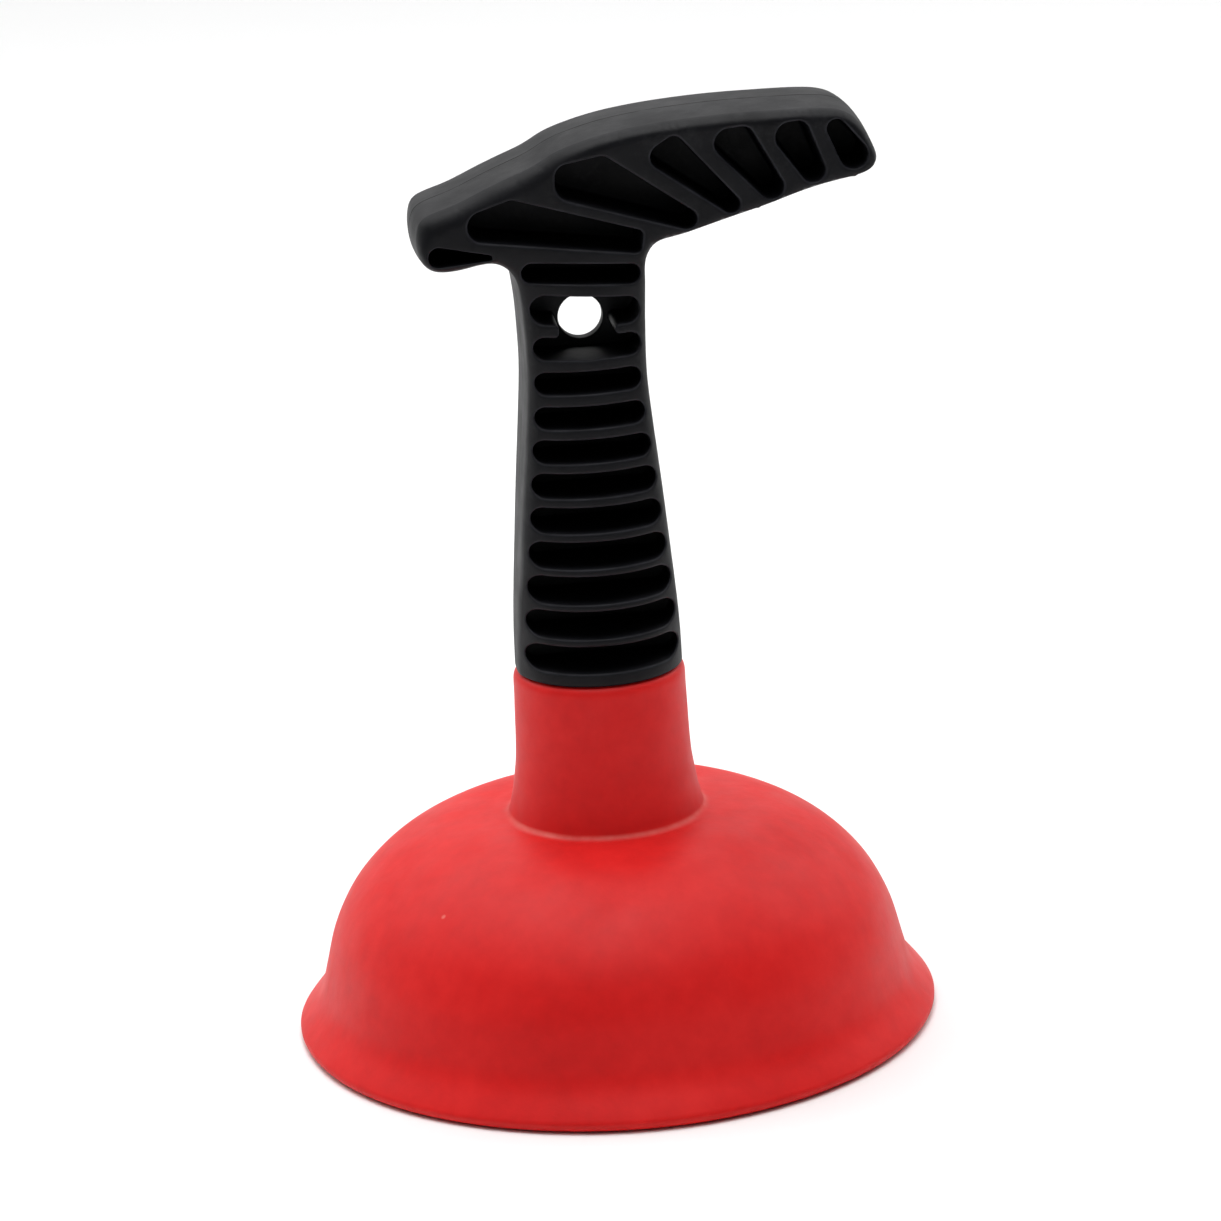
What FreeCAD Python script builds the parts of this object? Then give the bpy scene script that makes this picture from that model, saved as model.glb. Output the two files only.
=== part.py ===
import FreeCAD, Part
import Sketcher
import math
import os

# Small force-cup plunger: a red rubber cup with a socket neck, and a black moulded T-handle pressed into it.
# Millimetres.  +Z is up.  Origin: centre of the plane that the cup's lip stands on.
# +X runs along the T-grip towards its long arm.  The part is mirror-symmetric about the XZ plane.

V = FreeCAD.Vector
doc = FreeCAD.newDocument("SinkPlunger")

# ----------------------------------------------------------------------------------------------- driving dimensions
sheet = doc.addObject("Spreadsheet::Sheet", "Dims")
ROW = [1]


def cell(alias, value, note=""):
    n = ROW[0]
    sheet.set("A%d" % n, alias)
    sheet.set("B%d" % n, repr(float(value)))
    sheet.set("C%d" % n, note)
    sheet.setAlias("B%d" % n, alias)
    ROW[0] += 1


# cup
cell("cup_radius", 55.0, "outer radius of the flared lip")
cell("lip_edge", 1.2, "rounding of the lip's outer edge")
cell("land_inner_radius", 51.6, "inner radius of the flat land under the lip")
cell("crease_height", 46.0, "plane where the bell with its hub ends and the socket sleeve begins")
cell("crown_inside", 34.0, "height of the dome's inside at its middle")
cell("neck_base_radius", 15.13, "outer radius of the neck at the crease")
cell("neck_top_radius", 14.6, "outer radius of the neck at its mouth")
cell("neck_height", 63.2, "height of the neck's mouth")
cell("neck_mouth_round", 1.7, "rounding of the neck's outer top edge")
cell("socket_radius", 11.5, "bore of the neck")
# dome: outer profile (radius, height) from the lip up to the crease, and the inner profile
BELL_OUT = [(54.65, 2.0), (53.25, 3.8), (51.85, 5.6), (50.75, 7.6), (50.1, 9.8), (49.4, 12.6), (48.4, 16.4),
            (46.75, 20.4), (45.2, 23.2), (43.3, 25.75), (41.0, 28.2), (38.0, 30.75), (35.0, 32.7), (32.0, 34.25),
            (29.0, 35.45), (26.0, 36.15), (23.0, 36.55), (20.5, 36.8), (18.6, 37.0), (17.3, 37.3), (16.5, 37.95),
            (16.15, 39.2), (15.85, 41.2), (15.5, 43.5)]
BELL_IN = [(9.0, 33.95), (17.0, 33.8), (22.0, 33.55), (25.5, 33.2), (28.2, 32.7), (30.8, 31.75), (33.6, 30.3),
           (36.3, 28.45), (39.0, 26.1), (41.1, 23.9), (42.8, 21.5), (44.2, 18.7), (45.6, 14.8), (46.9, 11.0),
           (48.3, 7.0), (50.1, 3.4)]
# neck: outer profile (radius, height) between its base and its mouth, flared towards the dome
NECK_OUT = [(14.92, 48.6), (14.8, 52.0), (14.7, 56.5)]
for i, (r, z) in enumerate(BELL_OUT):
    cell("bell_out_x%02d_" % i, r)
    cell("bell_out_z%02d_" % i, z)
for i, (r, z) in enumerate(BELL_IN):
    cell("bell_in_x%02d_" % i, r)
    cell("bell_in_z%02d_" % i, z)

for i, (r, z) in enumerate(NECK_OUT):
    cell("neck_out_x%02d_" % i, r)
    cell("neck_out_z%02d_" % i, z)

# handle
cell("grip_thickness", 23.8, "T-grip and upper stem, front face to back face")
cell("web_thickness", 2.8, "middle web left between the front and back pockets")
cell("grip_edge_round", 1.6, "rounding of the grip's long edges")
cell("spigot_radius", 11.45, "core of the hidden spigot")
cell("barb_radius", 11.9, "crest of the spigot's barbs")
cell("spigot_bottom", 46.4, "lower end of the spigot")
cell("barb_pitch", 4.6, "distance from barb to barb")
cell("hang_hole_radius", 3.75, "hanging hole in the web")
cell("hang_hole_height", 124.0, "height of the hanging hole's centre")
cell("hang_relief_radius", 4.7, "ribs are cut back round the hanging hole")
# stem sections: height, half-width (silhouette), front depth, half-width of the section's full ellipse
STEM = [(63.2, 14.1, 14.1, 14.1), (74.2, 13.6, 13.9, 14.4), (88.2, 12.4, 13.2, 14.9), (102.1, 11.15, 12.5, 15.4),
        (116.1, 10.05, 12.0, 15.6), (127.0, 10.45, 11.9, 17.0), (131.5, 10.8, 11.9, 20.5),
        (135.5, 12.5, 11.9, 28.0), (140.0, 16.0, 11.9, 40.0)]
for i, (z, w, d, e) in enumerate(STEM):
    cell("stem_z%02d_" % i, z)
    cell("stem_depth%02d_" % i, d)
    cell("stem_wide%02d_" % i, e)
# whole handle seen from the front: right side up from the stem's foot, round the grip, and down the left side
OUTLINE = [(14.6, 63.2), (14.2, 67.3), (13.6, 74.2), (13.0, 81.2), (12.4, 88.2), (11.8, 95.2), (11.15, 102.1),
           (10.5, 109.1), (10.1, 115.0), (10.1, 120.0), (10.25, 125.0), (10.5, 130.0), (10.75, 132.8),
           (11.4, 135.1), (13.1, 136.85), (16.0, 137.9), (20.4, 139.0), (25.6, 140.4), (30.9, 141.8), (37.4, 143.8),
           (43.9, 145.2), (47.2, 145.9), (49.2, 147.1), (49.85, 148.8), (49.2, 151.2), (47.7, 154.2), (45.7, 156.5),
           (43.4, 157.6), (40.2, 158.1), (33.0, 158.3), (25.5, 158.3), (18.0, 158.0), (11.0, 157.4), (4.5, 156.4),
           (-0.6, 155.1), (-4.3, 153.7), (-6.8, 152.3), (-10.6, 150.7), (-16.0, 148.5), (-21.0, 146.4),
           (-24.4, 145.3), (-26.4, 144.1), (-27.3, 142.0), (-27.4, 139.3), (-26.7, 136.9), (-25.2, 135.5),
           (-22.8, 135.0), (-19.8, 135.2), (-16.6, 135.7), (-14.2, 135.6), (-12.3, 134.3), (-11.2, 132.2),
           (-10.6, 129.2), (-10.25, 125.0), (-10.1, 120.0), (-10.1, 115.0), (-10.5, 109.1), (-11.15, 102.1),
           (-11.8, 95.2), (-12.4, 88.2), (-13.0, 81.2), (-13.6, 74.2), (-14.2, 67.3), (-14.6, 63.2)]
for i, (x, z) in enumerate(OUTLINE):
    cell("edge_x%02d_" % i, x)
    cell("edge_z%02d_" % i, z)
# pockets of the grip: each is the hull of round corners (x, z, corner radius), clockwise from its left end
POCKETS = {
    "gripa": [(-23.7, 138.0, 1.75), (-15.4, 137.2, 0.5)],
    "gripb": [(-16.1, 142.6, 2.6), (-11.4, 144.6, 2.1), (9.0, 139.3, 1.0), (8.7, 137.35, 1.0)],
    "gripc": [(-1.1, 148.6, 2.9), (-1.8, 149.8, 2.2), (3.7, 150.9, 2.0), (17.3, 141.4, 1.7)],
    "gripd": [(14.0, 152.0, 2.2), (15.7, 153.6, 1.7), (24.7, 143.3, 1.5)],
    "gripe": [(24.9, 153.4, 2.5), (27.1, 154.1, 1.95), (31.5, 145.7, 2.05)],
    "gripf": [(35.0, 153.7, 2.5), (36.2, 154.3, 2.0), (38.5, 147.9, 2.0)],
    "gripg": [(42.6, 154.5, 1.6), (45.3, 150.0, 2.35)],
}
# slots of the stem: left (x, z), right (x, z), half-height
SLOTS = [((-8.6, 134.2), (7.6, 132.9), 1.7), ((-7.1, 127.75), (6.75, 126.8), 2.4), ((-7.0, 121.15), (7.0, 121.0), 1.9),
         ((-6.9, 115.2), (6.9, 115.2), 1.9), ((-7.2, 109.35), (7.2, 109.35), 1.9), ((-7.7, 103.6), (7.7, 103.6), 2.0),
         ((-8.1, 97.8), (8.1, 97.8), 2.1), ((-8.4, 91.9), (8.4, 91.9), 2.2), ((-8.9, 85.9), (8.9, 85.9), 2.3),
         ((-9.3, 79.9), (9.3, 79.9), 2.4), ((-9.8, 73.9), (9.8, 73.9), 2.4), ((-10.2, 67.85), (10.2, 67.85), 2.35)]
for i, (a, b, r) in enumerate(SLOTS):
    POCKETS["slot%s" % "abcdefghijkl"[i]] = [(a[0], a[1], r), (b[0], b[1], r)]
for name, cs in POCKETS.items():
    for i, (x, z, r) in enumerate(cs):
        cell("%s_x%d_" % (name, i), x)
        cell("%s_z%d_" % (name, i), z)
        cell("%s_round%d_" % (name, i), r)
doc.recompute()


def g(alias):
    return float(sheet.get(alias))


# ------------------------------------------------------------------------------------------------------- sketch tools
def drive(sk, kind, args, expr):
    """A distance or radius constraint whose value is bound to the sheet."""
    n = sk.addConstraint(Sketcher.Constraint(kind, *args))
    sk.setExpression("Constraints[%d]" % n, expr)
    return n


def pin(sk, geo, end, ax, az, x, z):
    """Places a sketch point at (x, z); ax and az are the sheet's aliases or None for a zero."""
    if ax is None:
        sk.addConstraint(Sketcher.Constraint("PointOnObject", geo, end, -2))
    else:
        if x < 0:
            drive(sk, "DistanceX", (geo, end, -1, 1, -x), "-" + ax)
        else:
            drive(sk, "DistanceX", (-1, 1, geo, end, x), ax)
    if az is None:
        sk.addConstraint(Sketcher.Constraint("PointOnObject", geo, end, -1))
    else:
        drive(sk, "DistanceY", (-1, 1, geo, end, z), az)


def spline(points):
    c = Part.BSplineCurve()
    c.interpolate([V(x, z, 0) for x, z in points])
    return c


def hull_wire(sk, circles, name):
    """Closed outline round a few circles: arcs joined by their common tangents."""
    n = len(circles)
    tang = []
    for i in range(n):
        x0, z0, r0 = circles[i]
        x1, z1, r1 = circles[(i + 1) % n]
        d = math.hypot(x1 - x0, z1 - z0)
        base = math.atan2(z1 - z0, x1 - x0)
        off = math.acos((r0 - r1) / d)
        a = base + off                       # clockwise order keeps the tangent on the left of each step
        tang.append((a, (x0 + r0 * math.cos(a), z0 + r0 * math.sin(a)), (x1 + r1 * math.cos(a), z1 + r1 * math.sin(a))))
    first = sk.GeometryCount
    for i in range(n):
        x, z, r = circles[i]
        a_in = tang[i - 1][0]
        a_out = tang[i][0]
        while a_out > a_in:
            a_out -= 2 * math.pi
        sk.addGeometry(Part.ArcOfCircle(Part.Circle(V(x, z, 0), V(0, 0, 1), r), a_out, a_in), False)
        sk.addGeometry(Part.LineSegment(V(*tang[i][1], 0), V(*tang[i][2], 0)), False)
    for i in range(n):
        arc, line, nxt = first + 2 * i, first + 2 * i + 1, first + 2 * ((i + 1) % n)
        sk.addConstraint(Sketcher.Constraint("Tangent", arc, 1, line, 1))
        sk.addConstraint(Sketcher.Constraint("Tangent", line, 2, nxt, 2))
    for i in range(n):
        arc = first + 2 * i
        x, z, r = circles[i]
        pin(sk, arc, 3, "Dims.%s_x%d_" % (name, i), "Dims.%s_z%d_" % (name, i), x, z)
        drive(sk, "Radius", (arc, r), "Dims.%s_round%d_" % (name, i))


def body_plane(body, role):
    for f in body.Origin.OriginFeatures:
        if f.Role == role:
            return f
    raise RuntimeError("no plane " + role)


def new_body_sketch(body, name, role="XZ_Plane"):
    sk = body.newObject("Sketcher::SketchObject", name)
    sk.AttachmentSupport = [(body_plane(body, role), "")]
    sk.MapMode = "FlatFace"
    return sk


def revolve(body, sk, name):
    rev = body.newObject("PartDesign::Revolution", name)
    rev.Profile = sk
    rev.ReferenceAxis = (sk, ["V_Axis"])
    rev.Angle = 360.0
    body.Tip = rev
    return rev


# ---------------------------------------------------------------------------------------------------------- cup_bell
# Flared lip and dome of the rubber cup, hollow from below, closed at the crown under the neck.
bell = doc.addObject("PartDesign::Body", "CupBell")
sk = new_body_sketch(bell, "BellProfile")
top = g("crease_height")
R, e, land = g("cup_radius"), g("lip_edge"), g("land_inner_radius")
out_pts = [(R, e)] + [(g("bell_out_x%02d_" % i), g("bell_out_z%02d_" % i)) for i in range(len(BELL_OUT))]
out_pts += [(g("neck_base_radius"), top)]
in_pts = [(0.0, g("crown_inside"))] + [(g("bell_in_x%02d_" % i), g("bell_in_z%02d_" % i)) for i in range(len(BELL_IN))]
in_pts += [(land, 0.0)]
sk.addGeometry(spline(out_pts), False)                                                        # 0 outside, lip to crease
sk.addGeometry(Part.LineSegment(V(g("neck_base_radius"), top, 0), V(0, top, 0)), False)       # 1 crown top
sk.addGeometry(Part.LineSegment(V(0, top, 0), V(0, g("crown_inside"), 0)), False)             # 2 on the axis
sk.addGeometry(spline(in_pts), False)                                                         # 3 inside, crown to land
sk.addGeometry(Part.LineSegment(V(land, 0, 0), V(R - e, 0, 0)), False)                        # 4 land
sk.addGeometry(Part.ArcOfCircle(Part.Circle(V(R - e, e, 0), V(0, 0, 1), e), -math.pi / 2, 0), False)   # 5 lip edge
for a, b in ((0, 1), (1, 2), (2, 3), (3, 4)):
    sk.addConstraint(Sketcher.Constraint("Coincident", a, 2, b, 1))
sk.addConstraint(Sketcher.Constraint("Tangent", 4, 2, 5, 1))
sk.addConstraint(Sketcher.Constraint("Coincident", 5, 2, 0, 1))
drive(sk, "Radius", (5, e), "Dims.lip_edge")
pin(sk, 0, 1, "Dims.cup_radius", "Dims.lip_edge", R, e)
pin(sk, 1, 1, "Dims.neck_base_radius", "Dims.crease_height", g("neck_base_radius"), top)
pin(sk, 1, 2, None, "Dims.crease_height", 0, top)
pin(sk, 2, 2, None, "Dims.crown_inside", 0, g("crown_inside"))
pin(sk, 4, 1, "Dims.land_inner_radius", None, land, 0)
doc.recompute()
revolve(bell, sk, "BellRevolution")
bell.Label = "cup_bell"

# ---------------------------------------------------------------------------------------------------------- cup_neck
# Socket sleeve of the rubber cup: it grips the handle's spigot and moves with it.
neck = doc.addObject("PartDesign::Body", "CupNeck")
sk = new_body_sketch(neck, "NeckProfile")
rb, rt, rs = g("neck_base_radius"), g("neck_top_radius"), g("socket_radius")
h0, h1, nr = top, g("neck_height"), g("neck_mouth_round")
sk.addGeometry(Part.LineSegment(V(rs, h0, 0), V(rb, h0, 0)), False)                           # 0 base
flare = [(g("neck_out_x%02d_" % i), g("neck_out_z%02d_" % i)) for i in range(len(NECK_OUT))]
sk.addGeometry(spline([(rb, h0)] + flare + [(rt, h1 - nr)]), False)                           # 1 outside
sk.addGeometry(Part.ArcOfCircle(Part.Circle(V(rt - nr, h1 - nr, 0), V(0, 0, 1), nr), 0, math.pi / 2), False)  # 2 mouth
sk.addGeometry(Part.LineSegment(V(rt - nr, h1, 0), V(rs, h1, 0)), False)                      # 3 mouth face
sk.addGeometry(Part.LineSegment(V(rs, h1, 0), V(rs, h0, 0)), False)                           # 4 bore
sk.addConstraint(Sketcher.Constraint("Coincident", 0, 2, 1, 1))
sk.addConstraint(Sketcher.Constraint("Coincident", 1, 2, 2, 1))
sk.addConstraint(Sketcher.Constraint("Tangent", 2, 2, 3, 1))
sk.addConstraint(Sketcher.Constraint("Coincident", 3, 2, 4, 1))
sk.addConstraint(Sketcher.Constraint("Coincident", 4, 2, 0, 1))
sk.addConstraint(Sketcher.Constraint("Vertical", 4))
pin(sk, 0, 1, "Dims.socket_radius", "Dims.crease_height", rs, h0)
pin(sk, 0, 2, "Dims.neck_base_radius", "Dims.crease_height", rb, h0)
pin(sk, 1, 2, "Dims.neck_top_radius", "(Dims.neck_height - Dims.neck_mouth_round)", rt, h1 - nr)
drive(sk, "Radius", (2, nr), "Dims.neck_mouth_round")
drive(sk, "DistanceY", (-1, 1, 3, 2, h1), "Dims.neck_height")
doc.recompute()
revolve(neck, sk, "NeckRevolution")
neck.Label = "cup_neck"
doc.recompute()

# ---------------------------------------------------------------------------------------------------------- t_handle
# One moulding.  Its body is what the front outline, drawn through the full depth, has in common with a stem of
# elliptic sections (round at the foot, flat-fronted at the grip) joined to the flat-sided grip block.
DEEP = 40.0
XZ = FreeCAD.Placement(V(0, 0, 0), FreeCAD.Rotation(V(1, 0, 0), 90))      # sketch x -> X, sketch y -> Z, normal -> -Y


def part_sketch(name):
    s = doc.addObject("Sketcher::SketchObject", name)
    s.Placement = XZ
    return s


def extrude(sk, name, length_expr):
    ex = doc.addObject("Part::Extrusion", name)
    ex.Base = sk
    ex.DirMode = "Normal"
    ex.Solid = True
    ex.Symmetric = True
    ex.LengthFwd = DEEP
    if length_expr:
        ex.setExpression("LengthFwd", length_expr)
    return ex


out = [(g("edge_x%02d_" % i), g("edge_z%02d_" % i)) for i in range(len(OUTLINE))]
sk = part_sketch("HandleOutline")
sk.addGeometry(spline(out), False)
sk.addGeometry(Part.LineSegment(V(out[-1][0], out[-1][1], 0), V(out[0][0], out[0][1], 0)), False)
sk.addConstraint(Sketcher.Constraint("Coincident", 0, 2, 1, 1))
sk.addConstraint(Sketcher.Constraint("Coincident", 1, 2, 0, 1))
last = len(OUTLINE) - 1
pin(sk, 0, 1, "Dims.edge_x00_", "Dims.edge_z00_", *out[0])
pin(sk, 0, 2, "Dims.edge_x%02d_" % last, "Dims.edge_z%02d_" % last, *out[-1])
doc.recompute()
silhouette = extrude(sk, "OutlinePrism", None)

rings = []
for i in range(len(STEM)):
    el = doc.addObject("Part::Ellipse", "StemSection%d" % i)
    d, w = g("stem_depth%02d_" % i), g("stem_wide%02d_" % i)
    el.MajorRadius = max(w, d) + 0.001 * (i == 0)
    el.MinorRadius = d
    el.setExpression("MajorRadius", "Dims.stem_wide%02d_%s" % (i, " + 0.001" if i == 0 else ""))
    el.setExpression("MinorRadius", "Dims.stem_depth%02d_" % i)
    el.setExpression("Placement.Base.z", "Dims.stem_z%02d_" % i)
    rings.append(el)
doc.recompute()
stem = doc.addObject("Part::Loft", "StemLoft")
stem.Sections = rings
stem.Solid = True
stem.Ruled = True
stem.Closed = False

block = doc.addObject("Part::Box", "GripBlock")
block.Length, block.Width, block.Height = 100.0, g("grip_thickness"), 40.0
block.setExpression("Width", "Dims.grip_thickness")
block.Placement.Base = V(-40, -g("grip_thickness") / 2, 134.9)
block.setExpression("Placement.Base.y", "-Dims.grip_thickness / 2")
doc.recompute()

# the grip alone, with its long edges rounded
grip = doc.addObject("Part::Common", "GripBody")
grip.Base, grip.Tool = silhouette, block
doc.recompute()
gf = doc.addObject("Part::Fillet", "GripRounded")
gf.Base = grip
half = g("grip_thickness") / 2
edges = []
for n, ed in enumerate(grip.Shape.Edges, 1):
    bb = ed.BoundBox
    on_face = abs(abs(bb.YMin) - half) < 1e-4 and abs(bb.YMax - bb.YMin) < 1e-4
    if on_face and ed.Length > 20 and bb.ZMax > 140:
        edges.append((n, g("grip_edge_round"), g("grip_edge_round")))
gf.Edges = edges
doc.recompute()

silhouette_b = extrude(sk, "OutlinePrismStem", None)
stem_body = doc.addObject("Part::Common", "StemBody")
stem_body.Base, stem_body.Tool = silhouette_b, stem
doc.recompute()

# pockets: prisms right through, with the middle web kept
tools = []
for name, cs in POCKETS.items():
    s = part_sketch("Pocket_" + name)
    circles = [(g("%s_x%d_" % (name, i)), g("%s_z%d_" % (name, i)), g("%s_round%d_" % (name, i))) for i in range(len(cs))]
    hull_wire(s, circles, name)
    doc.recompute()
    tools.append(extrude(s, "Prism_" + name, None))
relief = doc.addObject("Part::Cylinder", "HangRelief")
relief.setExpression("Radius", "Dims.hang_relief_radius")
relief.Height = DEEP
relief.Placement = FreeCAD.Placement(V(0, DEEP / 2, g("hang_hole_height")), FreeCAD.Rotation(V(1, 0, 0), 90))
relief.setExpression("Placement.Base.z", "Dims.hang_hole_height")
tools.append(relief)
doc.recompute()
prisms = doc.addObject("Part::MultiFuse", "PocketPrisms")
prisms.Shapes = tools
web = doc.addObject("Part::Box", "WebKeeper")
web.Length, web.Height = 100.0, 120.0
web.setExpression("Width", "Dims.web_thickness")
web.Placement.Base = V(-40, -g("web_thickness") / 2, 55)
web.setExpression("Placement.Base.y", "-Dims.web_thickness / 2")
pocket_tool = doc.addObject("Part::Cut", "PocketTool")
pocket_tool.Base, pocket_tool.Tool = prisms, web
doc.recompute()

# barbed spigot that sits in the cup's neck
spig = doc.addObject("Sketcher::SketchObject", "SpigotProfile")
spig.Placement = XZ
sb, sr, br, bp, ht = g("spigot_bottom"), g("spigot_radius"), g("barb_radius"), g("barb_pitch"), g("neck_height")
pts = [(0, sb), (sr - 0.9, sb)]
names = [(None, "Dims.spigot_bottom"), ("(Dims.spigot_radius - 0.9)", "Dims.spigot_bottom")]
for k in range(3):
    z = sb + 0.9 + k * bp
    pts += [(sr - (0.0 if k else 0.0), z), (br, z + 2.4), (sr, z + 2.7)]
    zk = "(Dims.spigot_bottom + 0.9 + %d * Dims.barb_pitch" % k
    names += [("Dims.spigot_radius", zk + ")"), ("Dims.barb_radius", zk + " + 2.4)"), ("Dims.spigot_radius", zk + " + 2.7)")]
pts += [(sr, ht + 1.0), (0, ht + 1.0)]
names += [("Dims.spigot_radius", "(Dims.neck_height + 1)"), (None, "(Dims.neck_height + 1)")]
for i in range(len(pts)):
    a, b = pts[i], pts[(i + 1) % len(pts)]
    spig.addGeometry(Part.LineSegment(V(a[0], a[1], 0), V(b[0], b[1], 0)), False)
for i in range(len(pts)):
    spig.addConstraint(Sketcher.Constraint("Coincident", i, 2, (i + 1) % len(pts), 1))
for i, (x, z) in enumerate(pts):
    pin(spig, i, 1, names[i][0], names[i][1], x, z)
doc.recompute()
spigot = doc.addObject("Part::Revolution", "Spigot")
spigot.Source = spig
spigot.Axis = V(0, 0, 1)
spigot.Base = V(0, 0, 0)
spigot.Angle = 360.0
spigot.Solid = True
doc.recompute()

solid = doc.addObject("Part::MultiFuse", "HandleSolid")
solid.Shapes = [stem_body, gf, spigot]
doc.recompute()
ribbed = doc.addObject("Part::Cut", "HandleRibbed")
ribbed.Base, ribbed.Tool = solid, pocket_tool
hang = doc.addObject("Part::Cylinder", "HangHole")
hang.setExpression("Radius", "Dims.hang_hole_radius")
hang.Height = DEEP
hang.Placement = FreeCAD.Placement(V(0, DEEP / 2, g("hang_hole_height")), FreeCAD.Rotation(V(1, 0, 0), 90))
hang.setExpression("Placement.Base.z", "Dims.hang_hole_height")
handle = doc.addObject("Part::Cut", "THandle")
handle.Base, handle.Tool = ribbed, hang
handle.Label = "t_handle"
doc.recompute()

# ------------------------------------------------------------------------------------------------------------- check
PARTS = [bell, neck, handle]
for o in doc.Objects:
    if "Invalid" in o.State or "Error" in o.State:
        raise RuntimeError("%s is %s" % (o.Name, o.State))
for o in PARTS:
    s = o.Shape
    if s.isNull() or not s.isValid():
        raise RuntimeError("%s has no valid shape" % o.Label)
    bb = s.BoundBox
    print("%-10s solids %d  volume %9.1f mm3  x %.2f..%.2f  y %.2f..%.2f  z %.2f..%.2f"
          % (o.Label, len(s.Solids), s.Volume, bb.XMin, bb.XMax, bb.YMin, bb.YMax, bb.ZMin, bb.ZMax))
    if len(s.Solids) != 1:
        raise RuntimeError("%s is not one solid" % o.Label)
print("bell against neck, common volume:", bell.Shape.common(neck.Shape).Volume)
print("handle against neck, common volume:", handle.Shape.common(neck.Shape).Volume)
print("handle against bell, common volume:", handle.Shape.common(bell.Shape).Volume)

os.makedirs("parts", exist_ok=True)
for o in PARTS:
    o.Shape.exportStep(os.path.join("parts", o.Label + ".step"))
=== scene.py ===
import math
import time

import bpy
import numpy as np
from mathutils import Matrix, Vector
from mathutils.geometry import delaunay_2d_cdt


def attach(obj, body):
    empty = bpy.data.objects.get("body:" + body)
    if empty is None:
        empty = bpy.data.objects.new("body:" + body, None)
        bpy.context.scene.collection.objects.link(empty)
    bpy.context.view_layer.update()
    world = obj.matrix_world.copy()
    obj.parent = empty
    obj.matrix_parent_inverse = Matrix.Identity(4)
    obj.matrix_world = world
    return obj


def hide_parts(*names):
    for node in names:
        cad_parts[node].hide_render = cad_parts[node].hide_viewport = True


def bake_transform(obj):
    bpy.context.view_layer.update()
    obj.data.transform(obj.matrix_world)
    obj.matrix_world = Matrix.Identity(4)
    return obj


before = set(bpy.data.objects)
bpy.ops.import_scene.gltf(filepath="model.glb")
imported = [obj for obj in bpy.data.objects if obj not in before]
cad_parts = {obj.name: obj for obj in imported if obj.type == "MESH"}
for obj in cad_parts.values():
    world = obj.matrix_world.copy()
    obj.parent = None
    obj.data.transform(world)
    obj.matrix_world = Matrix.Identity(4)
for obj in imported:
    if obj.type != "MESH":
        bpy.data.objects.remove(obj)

T0 = time.time()
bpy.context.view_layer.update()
MM = 0.001
rng = np.random.default_rng(7)

# ===================================================================================================== small helpers


def smooth(a, b, v):
    t = np.clip((np.asarray(v, float) - a) / (b - a), 0.0, 1.0)
    return t * t * (3 - 2 * t)


def mixf(a, b, t):
    return a + (b - a) * t


def cubic_path(points, step):
    """Smooth curve through the points (chord-length cubic), resampled at an even spacing."""
    p = np.array(points, float)
    t = np.r_[0.0, np.cumsum(np.linalg.norm(np.diff(p, axis=0), axis=1))]
    n, h = len(p), np.diff(t)
    A, B = np.zeros((n, n)), np.zeros((n, p.shape[1]))
    A[0, 0] = A[-1, -1] = 1.0
    for i in range(1, n - 1):
        A[i, i - 1], A[i, i], A[i, i + 1] = h[i - 1], 2 * (h[i - 1] + h[i]), h[i]
        B[i] = 6 * ((p[i + 1] - p[i]) / h[i] - (p[i] - p[i - 1]) / h[i - 1])
    M = np.linalg.solve(A, B)
    u = np.linspace(0, t[-1], int(t[-1] / 0.05) + 2)
    k = np.clip(np.searchsorted(t, u, side="right") - 1, 0, n - 2)
    a, b, hk = (t[k + 1] - u) / h[k], (u - t[k]) / h[k], h[k]
    c = (a[:, None] * p[k] + b[:, None] * p[k + 1]
         + ((a**3 - a)[:, None] * M[k] + (b**3 - b)[:, None] * M[k + 1]) * (hk**2)[:, None] / 6)
    return resample(c, step, closed=False)


def resample(c, step, closed):
    c = np.asarray(c, float)
    if closed:
        c = np.vstack([c, c[:1]])
    s = np.r_[0.0, np.cumsum(np.linalg.norm(np.diff(c, axis=0), axis=1))]
    m = max(8, int(round(s[-1] / step)))
    q = np.linspace(0, s[-1], m + 1)
    out = np.stack([np.interp(q, s, c[:, j]) for j in range(c.shape[1])], 1)
    return out[:-1] if closed else out


def poly_distance(pts, poly):
    """Signed distance from points to a closed polygon, negative inside."""
    pts, a = np.asarray(pts, float), np.asarray(poly, float)
    b = np.roll(a, -1, axis=0)
    out = np.empty(len(pts))
    ab = b - a
    ll = np.maximum((ab * ab).sum(1), 1e-12)
    for s in range(0, len(pts), 4000):
        p = pts[s:s + 4000]
        d = p[:, None, :] - a[None]
        u = np.clip((d * ab[None]).sum(2) / ll, 0, 1)
        r = d - u[..., None] * ab[None]
        best = np.sqrt((r * r).sum(2).min(1))
        py, ay, by = p[:, None, 1], a[None, :, 1], b[None, :, 1]
        cross = (ay > py) != (by > py)
        with np.errstate(divide="ignore", invalid="ignore"):
            xi = a[None, :, 0] + (py - ay) / (by - ay) * ab[None, :, 0]
        inside = (cross & (p[:, None, 0] < xi)).sum(1) % 2 == 1
        out[s:s + 4000] = np.where(inside, -best, best)
    return out


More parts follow.
